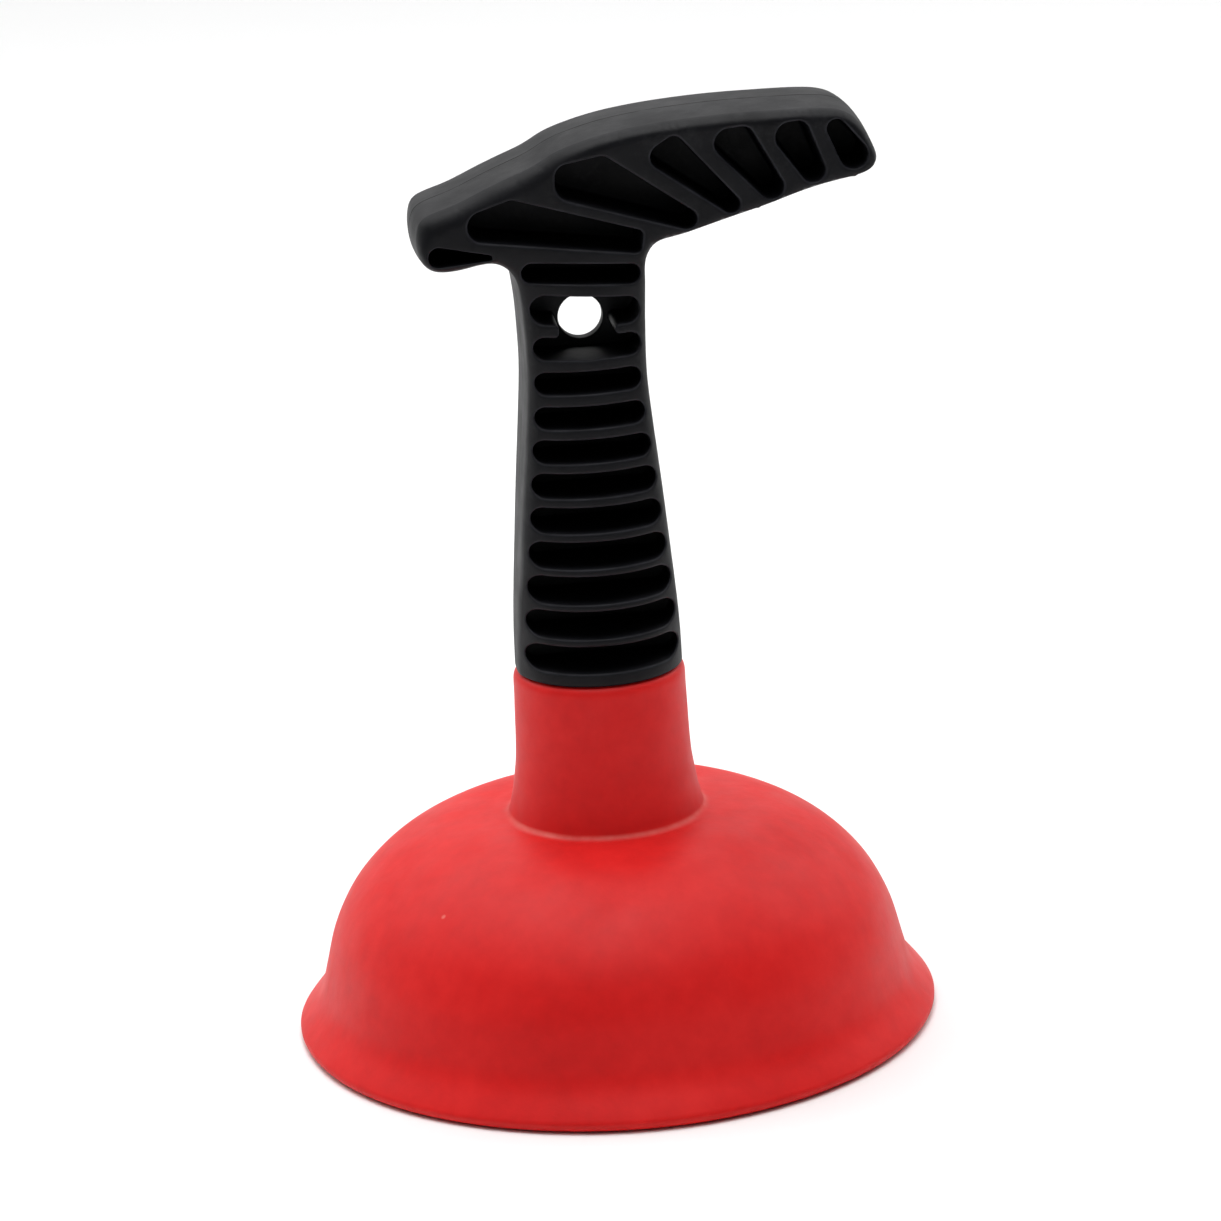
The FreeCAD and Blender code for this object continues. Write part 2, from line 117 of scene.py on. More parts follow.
def hull_loop(circles, grow, step):
    """Closed loop round a few circles (clockwise in x, z), and its outward normals."""
    pts, nrm = [], []
    n = len(circles)
    ang = []
    for i in range(n):
        x0, z0, r0 = circles[i]
        x1, z1, r1 = circles[(i + 1) % n]
        d = math.hypot(x1 - x0, z1 - z0)
        ang.append(math.atan2(z1 - z0, x1 - x0) + math.acos((r0 - r1) / d))
    for i in range(n):
        x, z, r = circles[i]
        a_in, a_out = ang[i - 1], ang[i]
        while a_out > a_in:
            a_out -= 2 * math.pi
        m = max(3, int(math.ceil(abs(a_in - a_out) * r / (step * 0.8))) + 1)
        for a in np.linspace(a_in, a_out, m):
            pts.append((x + (r + grow) * math.cos(a), z + (r + grow) * math.sin(a)))
            nrm.append((math.cos(a), math.sin(a)))
        x1, z1, r1 = circles[(i + 1) % n]
        a = ang[i]
        p0 = np.array([x + (r + grow) * math.cos(a), z + (r + grow) * math.sin(a)])
        p1 = np.array([x1 + (r1 + grow) * math.cos(a), z1 + (r1 + grow) * math.sin(a)])
        m = max(1, int(round(np.linalg.norm(p1 - p0) / step)))
        for k in range(1, m):
            pts.append(tuple(p0 + (p1 - p0) * k / m))
            nrm.append((math.cos(a), math.sin(a)))
    pts, nrm = np.array(pts), np.array(nrm)
    keep = np.linalg.norm(pts - np.roll(pts, 1, axis=0), axis=1) > 1e-4
    return pts[keep], nrm[keep]


def contour(F, x0, z0, h):
    """The longest zero contour of a grid field, as a closed loop."""
    links, pos = {}, {}
    nx, nz = F.shape

    def cut(i, j, k, m):
        key = (i, j, k, m)
        if key not in pos:
            a, b = F[i, j], F[k, m]
            t = a / (a - b)
            pos[key] = (x0 + h * (i + (k - i) * t), z0 + h * (j + (m - j) * t))
        return key

    S = F < 0
    mixed = (S[:-1, :-1] != S[1:, :-1]) | (S[:-1, :-1] != S[:-1, 1:]) | (S[:-1, :-1] != S[1:, 1:])
    for i, j in np.argwhere(mixed):
        e = []
        if S[i, j] != S[i + 1, j]:
            e.append(cut(i, j, i + 1, j))
        if S[i + 1, j] != S[i + 1, j + 1]:
            e.append(cut(i + 1, j, i + 1, j + 1))
        if S[i, j + 1] != S[i + 1, j + 1]:
            e.append(cut(i, j + 1, i + 1, j + 1))
        if S[i, j] != S[i, j + 1]:
            e.append(cut(i, j, i, j + 1))
        for q in range(0, len(e) - 1, 2):
            links.setdefault(e[q], []).append(e[q + 1])
            links.setdefault(e[q + 1], []).append(e[q])
    best, seen = [], set()
    for start in links:
        if start in seen:
            continue
        loop, cur, prev = [start], start, None
        seen.add(start)
        while True:
            nxt = [k for k in links[cur] if k != prev and k not in seen]
            if not nxt:
                break
            prev, cur = cur, nxt[0]
            seen.add(cur)
            loop.append(cur)
        if len(loop) > len(best):
            best = loop
    c = np.array([pos[k] for k in best])
    area = 0.5 * np.sum(c[:, 0] * np.roll(c[:, 1], -1) - np.roll(c[:, 0], -1) * c[:, 1])
    return c[::-1] if area > 0 else c            # clockwise


# ======================================================================================================== the handle
# Millimetres, in the frame of the CAD.  The half in front of the middle plane is one height field y = H(x, z) with
# pockets let into it; the other half is its mirror image.

FOOT = 63.2
OUTLINE = [(14.1, 58.0), (14.1, 63.2), (13.95, 68.5), (13.6, 74.2), (13.0, 81.2), (12.4, 88.2), (11.8, 95.2),
           (11.15, 102.1), (10.5, 109.1), (10.1, 115.0), (10.1, 120.0), (10.25, 125.0), (10.42, 130.0), (10.5, 132.8),
           (10.85, 135.1), (12.1, 136.85), (15.2, 137.8), (20.4, 139.0), (25.6, 140.4), (30.9, 141.8), (37.4, 143.8),
           (43.9, 145.2), (47.2, 145.9), (49.2, 147.1), (49.85, 148.8), (49.2, 151.2), (47.7, 154.2), (45.7, 156.5),
           (43.4, 157.6), (40.2, 158.1), (33.0, 158.3), (25.5, 158.3), (18.0, 158.0), (11.0, 157.4), (4.5, 156.4),
           (-0.6, 155.1), (-4.3, 153.7), (-6.8, 152.3), (-10.6, 150.7), (-16.0, 148.5), (-21.0, 146.4),
           (-24.4, 145.3), (-26.4, 144.1), (-27.3, 142.0), (-27.4, 139.3), (-26.7, 136.9), (-25.2, 135.5),
           (-22.8, 135.0), (-19.8, 135.2), (-16.6, 135.7), (-14.2, 135.6), (-12.3, 134.3), (-11.2, 132.2),
           (-10.6, 129.2), (-10.25, 125.0), (-10.1, 120.0), (-10.1, 115.0), (-10.5, 109.1), (-11.15, 102.1),
           (-11.8, 95.2), (-12.4, 88.2), (-13.0, 81.2), (-13.6, 74.2), (-13.95, 68.5), (-14.1, 63.2), (-14.1, 58.0)]
POCKETS = [
    [(-23.7, 138.1, 1.7), (-15.4, 137.45, 0.5)],
    [(-16.1, 142.6, 2.6), (-11.4, 144.6, 2.1), (9.0, 139.3, 1.0), (8.7, 137.35, 1.0)],
    [(-1.1, 148.6, 2.9), (-1.8, 149.8, 2.2), (3.7, 150.9, 2.0), (17.3, 141.4, 1.7)],
    [(14.0, 152.0, 2.2), (15.7, 153.6, 1.7), (24.7, 143.3, 1.5)],
    [(24.9, 153.4, 2.5), (27.1, 154.1, 1.95), (31.5, 145.7, 2.05)],
    [(35.0, 153.7, 2.5), (36.2, 154.3, 2.0), (38.5, 147.9, 2.0)],
    [(42.6, 154.5, 1.6), (45.3, 150.0, 2.35)],
]
SLOTS = [((-8.6, 134.2), (7.6, 132.9), 1.7), ((-7.1, 115.2), (6.75, 115.2), 1.9), ((-7.4, 109.35), (7.1, 109.35), 1.9),
         ((-7.9, 103.6), (7.7, 103.6), 2.0), ((-8.3, 97.8), (8.25, 97.8), 2.1), ((-8.7, 91.9), (8.7, 91.9), 2.2),
         ((-9.15, 85.9), (9.2, 85.9), 2.3), ((-9.55, 79.9), (9.7, 79.9), 2.4), ((-10.05, 73.9), (10.2, 73.9), 2.4),
         ((-10.45, 67.85), (10.6, 67.85), 2.35)]
HOLE_SLOTS = [[(-6.65, 127.75, 2.5), (6.7, 126.8, 2.3)], [(-7.0, 121.15, 1.9), (7.0, 121.0, 1.9)]]
HOLE_Z, HOLE_R, RELIEF_R = 124.0, 3.75, 4.65
WEB = 1.4
LIP = 0.45                       # rounding of every pocket's rim
STEM_Z = [58.0, 63.2, 74.2, 88.2, 102.1, 116.1, 127.0, 160.0]
STEM_D = [14.1, 14.1, 13.9, 13.2, 12.5, 12.0, 11.9, 11.9]
STEM_E = [14.35, 14.35, 14.55, 15.0, 15.4, 15.6, 17.0, 17.0]
THICK = 11.9

# local frame of the grip: depth, ellipse width, weight of the flat face, crown of the edge, rounding of the long edges


def grip_params(x, z):
    D = np.interp(z, STEM_Z, STEM_D)
    E = np.interp(z, STEM_Z, STEM_E)
    wz = smooth(125.0, 139.0, z)
    wx = smooth(10.3, 14.5, np.abs(x)) * smooth(126.0, 131.0, z)
    w = 1 - (1 - wz) * (1 - wx)
    crown = mixf(0.30, 0.75, smooth(128.0, 142.0, z))
    centre = 144.6 + 0.155 * x
    upper = smooth(centre - 1.5, centre + 2.0, z) * smooth(130.0, 136.0, z)
    r_top = mixf(2.9, 1.35, smooth(-16.0, 12.0, x))
    r_low = mixf(mixf(0.3, 1.7, smooth(66.0, 104.0, z)), 1.15, smooth(124.0, 135.0, z))
    return D, E, w, crown, mixf(r_low, r_top, upper)


def outer(dout, x, y, D, E, w, crown, r):
    """Implicit skin of the handle without its pockets, negative inside; dout is the distance to the front outline."""
    q0 = np.sqrt((x / E) ** 2 + (y / D) ** 2)
    q1 = np.sqrt((x / E**2) ** 2 + (y / D**2) ** 2)
    ell = q0 * (q0 - 1) / np.maximum(q1, 1e-6)
    face = ell * (1 - w) + (y - THICK) * w
    side = dout + crown * (y / THICK) ** 2
    a, b = np.maximum(side + r, 0), np.maximum(face + r, 0)
    return np.minimum(np.maximum(side, face), -r) + np.sqrt(a * a + b * b)


def height(xz, lam, dout):
    """Solves the skin's height over (x, z), sunk by lam along its normal."""
    x, z = xz[:, 0], xz[:, 1]
    P = grip_params(x, z)
    lo, hi = np.zeros(len(x)), np.full(len(x), 16.0)
    for _ in range(34):
        mid = (lo + hi) / 2
        inside = outer(dout, x, mid, *P) < -lam
        lo, hi = np.where(inside, mid, lo), np.where(inside, hi, mid)
    return (lo + hi) / 2


full = cubic_path(OUTLINE, 0.1)
outline_poly = full
ZF = FOOT + 0.4                                   # above this height the foot's edge is rounded off
body_part = full[(full[:, 1] >= ZF) | (np.abs(full[:, 0]) < 5)]
ring_xz = resample(body_part, 0.6, closed=False)
ring_xz[0, 1] = ring_xz[-1, 1] = ZF
tan = np.gradient(ring_xz, axis=0)
tan /= np.linalg.norm(tan, axis=1)[:, None]
inward = np.stack([-tan[:, 1], tan[:, 0]], 1)     # the outline runs anticlockwise from the right foot
inward[0], inward[-1] = (-1, 0), (1, 0)
N = len(ring_xz)

# rings of the side wall, from the middle plane (parting line) up to 0.6 mm inside the outline
T_IN = 0.45
edge_xz = ring_xz + inward * T_IN
edge_y = height(edge_xz, np.zeros(N), np.full(N, -T_IN))
levels = [0.0, 0.11, 0.24, 0.5]
frac = [0.16, 0.34, 0.52, 0.68, 0.8, 0.88, 0.94, 0.975]
RP = grip_params(ring_xz[:, 0], ring_xz[:, 1])
s_along = np.r_[0, np.cumsum(np.linalg.norm(np.diff(ring_xz, axis=0), axis=1))]
wob = sum(np.sin(s_along * f + p) * a for f, p, a in
          ((0.35, 0.4, 0.5), (0.9, 2.0, 0.35), (2.1, 1.0, 0.3), (4.3, 0.2, 0.2)))
groove = np.clip(0.085 + 0.055 * wob, 0.015, 0.2) * (0.35 + 0.65 * smooth(118, 132, ring_xz[:, 1]))
def build_half(slots, hole_slots, clearance, blend=0.9):
    """One half of the handle, from the middle plane outwards, with its pockets, slots and hole."""
    verts, yv = [], []                                # (x, z) and y of the front half
    rim_highlight_of = {}                                       # painted highlight on the pocket rims, a paler colour: vertex -> amount


    def add(xz, y):
        start = sum(len(v) for v in verts)
        verts.append(np.asarray(xz, float).reshape(-1, 2))
        yv.append(np.broadcast_to(np.asarray(y, float), (len(verts[-1]),)).copy())
        return np.arange(start, start + len(verts[-1]))


    quads, tris, ngons = [], [], []


    def strip(a, b, closed):
        n = len(a)
        for i in range(n if closed else n - 1):
            j = (i + 1) % n
            quads.append((a[i], a[j], b[j], b[i]))


    prev = None
    for k in range(len(levels) + len(frac)):
        yk = np.full(N, levels[k]) if k < len(levels) else np.maximum(edge_y * frac[k - len(levels)], levels[-1] + 0.1)
        lo, hi = np.full(N, -1.2), np.full(N, T_IN)
        for _ in range(30):
            mid = (lo + hi) / 2
            out = outer(-mid, ring_xz[:, 0] + inward[:, 0] * mid, yk, *RP) > 0
            lo, hi = np.where(out, mid, lo), np.where(out, hi, mid)
        t = (lo + hi) / 2
        if k == 0:
            t = t + groove
            t0 = t
        elif k == 1:
            t = t + 0.35 * groove
        elif k == 2:
            t = t - 0.10 * groove                     # a faint raised line on each side of the parting line
        ids = add(ring_xz + inward * t[:, None], yk)
        if prev is not None:
            strip(prev, ids, False)
        else:
            mid_ring = ids
        prev = ids
    wall_rings_end = prev
    side_rings = (len(levels) + len(frac))

    # ---- pockets: their rims, walls and floors
    groups = []
    for cs in POCKETS:
        p, n = hull_loop(cs, 0.0, 0.5)
        groups.append((p, n, min(c[2] for c in cs), None))
    for a, b, r in slots:
        p, n = hull_loop([(a[0], a[1], r), (b[0], b[1], r)], 0.0, 0.5)
        groups.append((p, n, r, None))
    # the two top slots run into the clearance round the hanging hole
    h = 0.12
    gx, gz = np.arange(-11.0, 11.0, h), np.arange(112.0, 132.0, h)
    G = np.stack(np.meshgrid(gx, gz, indexing="ij"), -1).reshape(-1, 2)
    d_slots = np.minimum.reduce([poly_distance(G, hull_loop(cs, 0.0, 0.12)[0]) for cs in hole_slots])
    d_ring = poly_distance(G, hull_loop(clearance, 0.0, 0.12)[0])
    kk = blend
    hh = np.maximum(kk - np.abs(d_slots - d_ring), 0) / kk
    dd = (np.minimum(d_slots, d_ring) - hh * hh * kk * 0.25).reshape(len(gx), len(gz))
    c = resample(contour(dd, gx[0], gz[0], h), 0.42, closed=True)
    tn = np.roll(c, -1, axis=0) - np.roll(c, 1, axis=0)
    tn /= np.linalg.norm(tn, axis=1)[:, None]
    nn = np.stack([-tn[:, 1], tn[:, 0]], 1)           # clockwise loop: outward is to the left
    groups.append((c, nn, 1.9, "hole"))

    outer_ids = add(edge_xz, edge_y)
    strip(wall_rings_end, outer_ids, False)
    rims = []
    PH = np.radians([0.0, 22.5, 45.0, 67.5, 90.0])
    for p, n, rmin, kind in groups:
        loops = []
        lip = LIP if rmin > 0.6 else 0.24
        for ph in PH[::-1]:                           # from the outside of the rim inwards
            s = lip * (1 - math.cos(ph))
            lam = lip * (1 - math.sin(ph))
            q = p + n * s
            d = poly_distance(q, outline_poly)
            loops.append(add(q, height(q, np.full(len(q), lam), d)))
        # how much painted highlight each ring of a rim gets, most on the middle of the rounding
        for lp, amount in zip(loops, (0.0, 0.45, 1.0, 0.8, 0.25)):
            rim_highlight_of.update((int(v), amount) for v in lp)
        rims.append(loops)
        for a, b in zip(loops[:-1], loops[1:]):
            strip(a, b, True)
        top_y = np.concatenate(yv)[loops[-1]]
        rf = min(0.5, 0.45 * rmin) if kind is None else 0.22      # fillet at the pocket's floor
        draft = 0.020 if rmin > 0.8 and kind is None else 0.008
        y0 = WEB + rf
        prev = loops[-1]
        for f in (0.25, 0.5, 0.75, 1.0):
            y = top_y + (y0 - top_y) * f
            q = p - n * (draft * (top_y - y))[:, None]
            ids = add(q, y)
            strip(prev, ids, True)
            prev = ids
        for a in np.radians([30, 60, 90]):
            q = p - n * ((draft * (top_y - y0)) + rf * (1 - math.cos(a)))[:, None]
            ids = add(q, np.full(len(q), y0 - rf * math.sin(a)))
            strip(prev, ids, True)
            prev = ids
        if kind is None:
            ngons.append(("floor", prev))
        else:
            m = 96
            a = -np.linspace(0, 2 * math.pi, m, endpoint=False)
            circ = np.stack([np.cos(a), np.sin(a)], 1)
            hp = None
            for rr, yy in ((HOLE_R + 0.26, WEB), (HOLE_R + 0.14, WEB - 0.04), (HOLE_R + 0.04, WEB - 0.14),
                           (HOLE_R, WEB - 0.3), (HOLE_R - 0.02, WEB - 0.8), (HOLE_R - 0.02, 0.0)):
                ids = add(np.array([0.0, HOLE_Z]) + circ * rr, yy)
                if hp is None:
                    hole_top = ids
                else:
                    strip(hp, ids, True)
                hp = ids
            ngons.append(("holed", prev, hole_top))
            hole_mid = hp

    XZ = np.concatenate(verts)
    Y = np.concatenate(yv)

    # ---- the face between the outline and the pocket rims
    foot_line_x = np.linspace(edge_xz[-1, 0], edge_xz[0, 0], 54)[1:-1]
    foot_line = np.stack([foot_line_x, np.full(len(foot_line_x), ZF)], 1)
    free = []
    for t, step in ((1.1, 2), (1.75, 2), (2.5, 2), (3.4, 3)):
        free.append((ring_xz + inward * t)[::step])
    hx, hz = np.meshgrid(np.arange(-27, 50, 1.15), np.arange(ZF + 0.7, 159, 1.0), indexing="ij")
    hx = hx + 0.575 * (np.arange(hx.shape[1]) % 2)[None]
    free.append(np.stack([hx.ravel(), hz.ravel()], 1))
    free = np.concatenate(free)
    d_edge = poly_distance(free, np.vstack([edge_xz, foot_line[::-1]]))
    free, d_edge = free[d_edge < -0.35], d_edge[d_edge < -0.35]
    d_rim = np.full(len(free), 9.0)
    for loops in rims:
        poly = XZ[loops[0]]
        near = ((free[:, 0] > poly[:, 0].min() - 3) & (free[:, 0] < poly[:, 0].max() + 3)
                & (free[:, 1] > poly[:, 1].min() - 3) & (free[:, 1] < poly[:, 1].max() + 3))
        d_rim[near] = np.minimum(d_rim[near], poly_distance(free[near], poly))
    free = free[d_rim > 0.3]
    kept = []
    cells = {}
    for p in free:                                    # keep the free points 0.4 mm apart
        key = (int(p[0] // 0.4), int(p[1] // 0.4))
        if any((p[0] - q[0]) ** 2 + (p[1] - q[1]) ** 2 < 0.16
               for i in (-1, 0, 1) for j in (-1, 0, 1) for q in cells.get((key[0] + i, key[1] + j), ())):
            continue
        cells.setdefault(key, []).append(p)
        kept.append(p)
    free = np.array(kept)

    fl_ids = add(foot_line, height(foot_line, np.zeros(len(foot_line)), poly_distance(foot_line, outline_poly)))
    fr_ids = add(free, height(free, np.zeros(len(free)), poly_distance(free, outline_poly)))
    XZ, Y = np.concatenate(verts), np.concatenate(yv)
    boundary = list(outer_ids) + list(fl_ids)         # right foot, round, left foot, then along the foot to the right


    def fill(loops, extra):
        """Triangles between closed loops (the first is the outside, the others are holes) with free points."""
        ids = [i for lp in loops for i in lp] + list(extra)
        edges, base = [], 0
        for lp in loops:
            edges += [(base + k, base + (k + 1) % len(lp)) for k in range(len(lp))]
            base += len(lp)
        res = delaunay_2d_cdt([Vector(XZ[i]) for i in ids], edges, [], 0, 1e-6, True)
        v_out, f_out, v_orig = res[0], res[2], res[3]
        back = []
        for o in v_orig:
            if not o:
                raise RuntimeError("the outline crosses itself")
            back.append(ids[o[0]])
        tri = [tuple(back[i] for i in f) for f in f_out if len(f) == 3]
        wall = {frozenset((lp[k], lp[(k + 1) % len(lp)])) for lp in loops for k in range(len(lp))}
        by_edge = {}
        for n, f in enumerate(tri):
            for k in range(3):
                by_edge.setdefault(frozenset((f[k], f[(k + 1) % 3])), []).append(n)
        state, queue = {}, []
        for e, users in by_edge.items():
            if len(users) == 1 and users[0] not in state:
                state[users[0]] = e in wall
                queue.append(users[0])
        while queue:
            n = queue.pop()
            f = tri[n]
            for k in range(3):
                e = frozenset((f[k], f[(k + 1) % 3]))
                for m in by_edge[e]:
                    if m not in state:
                        state[m] = state[n] != (e in wall)
                        queue.append(m)
        tris.extend(f for n, f in enumerate(tri) if state[n])


    fill([boundary] + [list(l[0]) for l in rims], fr_ids)
    for item in ngons:
        if item[0] == "floor":
            fill([list(item[1])], [])
        else:
            fill([list(item[1]), list(item[2])], [])
    return XZ, Y, quads, tris, mid_ring, hole_mid, outer_ids, fl_ids, rim_highlight_of, side_rings


# The front ribs are cut back in a circle round the hole.  Behind the web they are cut back in a longer oval, which
# leaves the hole open to a slanting view.
XZ, Y, quads, tris, mid_ring, hole_mid, outer_ids, fl_ids, rim_highlight_of, side_rings = build_half(
    SLOTS, HOLE_SLOTS, [(0.0, HOLE_Z, RELIEF_R), (0.0, HOLE_Z - 0.02, RELIEF_R)])
XZ_b, Y_b, quads_b, tris_b, mid_b, hole_b, outer_b, fl_b, rim_highlight_b, _ = build_half(
    SLOTS[:1] + SLOTS[2:], HOLE_SLOTS + [[SLOTS[1][0] + (1.9,), SLOTS[1][1] + (1.9,)]],
    [(0.0, HOLE_Z, RELIEF_R), (0.0, 120.6, 5.15)], 1.5)

# ---- both halves, sharing the middle plane
n_half = len(XZ)
front = np.stack([XZ[:, 0], -Y, XZ[:, 1]], 1)
back = np.stack([XZ_b[:, 0], Y_b, XZ_b[:, 1]], 1)
index_back = np.arange(len(XZ_b)) + n_half
index_back[mid_b] = mid_ring
index_back[hole_b] = hole_mid
P3 = np.vstack([front, back])
faces = [tuple(int(v) for v in f) for f in quads + tris]
faces += [tuple(int(index_back[v]) for v in f[::-1]) for f in quads_b + tris_b]

# ---- foot and spigot: rings that carry on from the stem's lower edge
def half_line(outer_ring, foot_ids):
    """Lower edge of one half: x from right to left, y from 0 out and back."""
    first = [k * N for k in range(side_rings)] + [int(outer_ring[0])]
    last = [N - 1 + k * N for k in range(side_rings)] + [int(outer_ring[-1])]
    return first + [int(i) for i in foot_ids[::-1]] + last[::-1]


loop = half_line(outer_ids, fl_ids) + [int(index_back[i]) for i in half_line(outer_b, fl_b)[::-1][1:-1]]
base = P3[loop]
ang = np.arctan2(base[:, 1], base[:, 0])
SPIG = [(14.1, 63.2), (11.45, 63.2)]
rings = []
for a in np.radians([25, 50, 75, 90]):
    q = base.copy()
    rad = np.hypot(q[:, 0], q[:, 1])
    q[:, :2] *= ((rad - 0.4 * (1 - math.cos(a))) / rad)[:, None]
    q[:, 2] = ZF - 0.4 * math.sin(a)
    rings.append(q)
prof = [(12.2, 63.2), (11.45, 63.2), (11.45, 61.0)]
for kbarb in (2, 1, 0):
    zb = 46.4 + 0.9 + kbarb * 4.6
    prof += [(11.45, zb + 2.75), (11.88, zb + 2.4), (11.8, zb + 2.1), (11.45, zb)]
prof += [(11.3, 46.9), (10.55, 46.4)]
for r, z in prof:
    rings.append(np.stack([r * np.cos(ang), r * np.sin(ang), np.full(len(ang), z)], 1))
prev = loop
for q in rings:
    start = len(P3)
    P3 = np.vstack([P3, q])
    ids = list(range(start, start + len(q)))
    for i in range(len(ids)):
        j = (i + 1) % len(ids)
        faces.append((prev[i], prev[j], ids[j], ids[i]))
    prev = ids
faces.append(tuple(prev))

rim = np.zeros(len(P3))
for v, amount in rim_highlight_of.items():
    rim[v] = amount
for v, amount in rim_highlight_b.items():
    rim[v + n_half] = amount
used = np.zeros(len(P3), bool)
for f in faces:
    used[list(f)] = True
remap = np.cumsum(used) - 1
P3 = P3[used]
rim = rim[used]
faces = [tuple(int(remap[v]) for v in f) for f in faces]


def make_mesh(name, points, faces):
    me = bpy.data.meshes.new(name)
    me.from_pydata([tuple(p) for p in (np.asarray(points) * MM)], [], faces)
    me.validate()
    me.update()
    import bmesh
    bm = bmesh.new()
    bm.from_mesh(me)
    bmesh.ops.recalc_face_normals(bm, faces=bm.faces)
    vol = bm.calc_volume(signed=True)
    if vol < 0:
        bmesh.ops.reverse_faces(bm, faces=bm.faces)
    open_edges = sum(1 for e in bm.edges if len(e.link_faces) != 2)
    print("MESH", name, "verts", len(bm.verts), "faces", len(bm.faces), "open or odd edges", open_edges,
          "volume mm3", round(abs(vol) * 1e9, 1))
    bm.to_mesh(me)
    bm.free()
    me.shade_smooth()
    ob = bpy.data.objects.new(name, me)
    bpy.context.scene.collection.objects.link(ob)
    return ob


handle = make_mesh("t_handle_moulding", P3, faces)
# the rim attribute carries the painted highlight on the pocket and slot rims
att = handle.data.attributes.new("rim", "FLOAT", "POINT")
att.data.foreach_set("value", rim)
print("handle built in", round(time.time() - T0, 1), "s")

# =========================================================================================================== the cup
BELL_OUT = [(54.65, 2.0), (53.25, 3.8), (51.85, 5.6), (50.75, 7.6), (50.1, 9.8), (49.4, 12.6), (48.4, 16.4),
            (46.75, 20.4), (45.2, 23.2), (43.3, 25.75), (41.0, 28.2), (38.0, 30.75), (35.0, 32.7), (32.0, 34.25),
            (29.0, 35.45), (26.0, 36.15), (23.0, 36.55), (20.5, 36.8), (18.8, 36.95)]
BELL_IN = [(0.0, 34.0), (9.0, 33.95), (17.0, 33.8), (22.0, 33.55), (25.5, 33.2), (28.2, 32.7), (30.8, 31.75),
           (33.6, 30.3), (36.3, 28.45), (39.0, 26.1), (41.1, 23.9), (42.8, 21.5), (44.2, 18.7), (45.6, 14.8),
           (46.9, 11.0), (48.3, 7.0), (50.1, 3.4), (51.2, 0.9)]
edge = [(53.8 + 1.2 * math.sin(a), 1.2 - 1.2 * math.cos(a)) for a in np.radians([0, 20, 40, 60, 80, 95])]
crease = [(17.75, 37.03), (17.3, 37.15), (16.95, 37.38), (16.7, 37.72), (16.54, 38.15), (16.4, 38.7), (16.2, 39.6)]
neck = [(15.85, 41.2), (15.5, 43.4), (15.15, 45.8), (14.92, 48.6), (14.8, 52.0), (14.7, 56.5), (14.63, 60.0)]
mouth = [(12.9 + 1.7 * math.cos(a), 61.45 + 1.75 * math.sin(a)) for a in np.radians([4, 18, 32, 46, 60, 75, 90])]
outside = cubic_path(edge + BELL_OUT + crease + neck + mouth, 0.42)
inside = cubic_path(BELL_IN, 1.2)
profile = ([(51.6, 0.0), (52.7, 0.0)] + [tuple(p) for p in outside]
           + [(12.2, 63.2), (11.6, 63.05), (11.5, 62.8), (11.5, 60.0), (11.5, 56.0), (11.5, 52.0), (11.5, 48.0),
              (11.5, 46.3), (11.2, 46.0), (7.0, 46.0), (3.0, 46.0)])
inner = [tuple(p) for p in inside[1:]]
M = 256
th = np.linspace(0, 2 * math.pi, M, endpoint=False)
pts, cup_faces, rows = [], [], []


def cup_ring(r, z):
    """One ring of the soft cup: slightly out of round, as a rubber moulding is."""
    soft = smooth(39.0, 26.0, z) if r > 12 else 0.0
    dr = soft * (0.11 * np.sin(2 * th + 0.6) + 0.07 * np.sin(3 * th + 2.1) + 0.04 * np.sin(5 * th + 0.9))
    lip = smooth(9.0, 2.0, z) * (r > 45)
    dr = dr + lip * (0.10 * np.sin(4 * th + 1.3) + 0.06 * np.sin(7 * th + 0.2) - 0.12)
    start = len(pts)
    rr = r + dr
    for k in range(M):
        pts.append((rr[k] * math.cos(th[k]), rr[k] * math.sin(th[k]), z))
    rows.append(list(range(start, start + M)))
    return rows[-1]


seq = [cup_ring(r, z) for r, z in profile]
for a, b in zip(seq[:-1], seq[1:]):
    for k in range(M):
        m = (k + 1) % M
        cup_faces.append((a[k], a[m], b[m], b[k]))
cup_faces.append(tuple(seq[-1]))                   # socket floor
seq_in = [cup_ring(r, z) for r, z in inner]
cup_faces.append(tuple(seq_in[0][::-1]))           # middle of the crown, from below
for a, b in zip(seq_in[:-1], seq_in[1:]):
    for k in range(M):
        m = (k + 1) % M
        cup_faces.append((a[k], b[k], b[m], a[m]))
for k in range(M):
    m = (k + 1) % M
    cup_faces.append((seq_in[-1][k], seq[0][k], seq[0][m], seq_in[-1][m]))
cup = make_mesh("rubber_cup", pts, cup_faces)

# ====================================================================================================== materials


def new_material(name):
    m = bpy.data.materials.new(name)
    m.use_nodes = True
    nt = m.node_tree
    nt.nodes.clear()
    out = nt.nodes.new("ShaderNodeOutputMaterial")
    bsdf = nt.nodes.new("ShaderNodeBsdfPrincipled")
    nt.links.new(bsdf.outputs["BSDF"], out.inputs["Surface"])
    return m, nt, bsdf


def node(nt, kind, **kw):
    n = nt.nodes.new(kind)
    for k, v in kw.items():
        if k.startswith("in_"):
            n.inputs[k[3:].replace("_", " ")].default_value = v
        else:
            setattr(n, k, v)
    return n


def noise(nt, vec, scale, detail=3.0, rough=0.55, dist=0.0):
    n = nt.nodes.new("ShaderNodeTexNoise")
    n.inputs["Scale"].default_value = scale
    n.inputs["Detail"].default_value = detail
    n.inputs["Roughness"].default_value = rough
    n.inputs["Distortion"].default_value = dist
    nt.links.new(vec, n.inputs["Vector"])
    return n.outputs["Fac"]


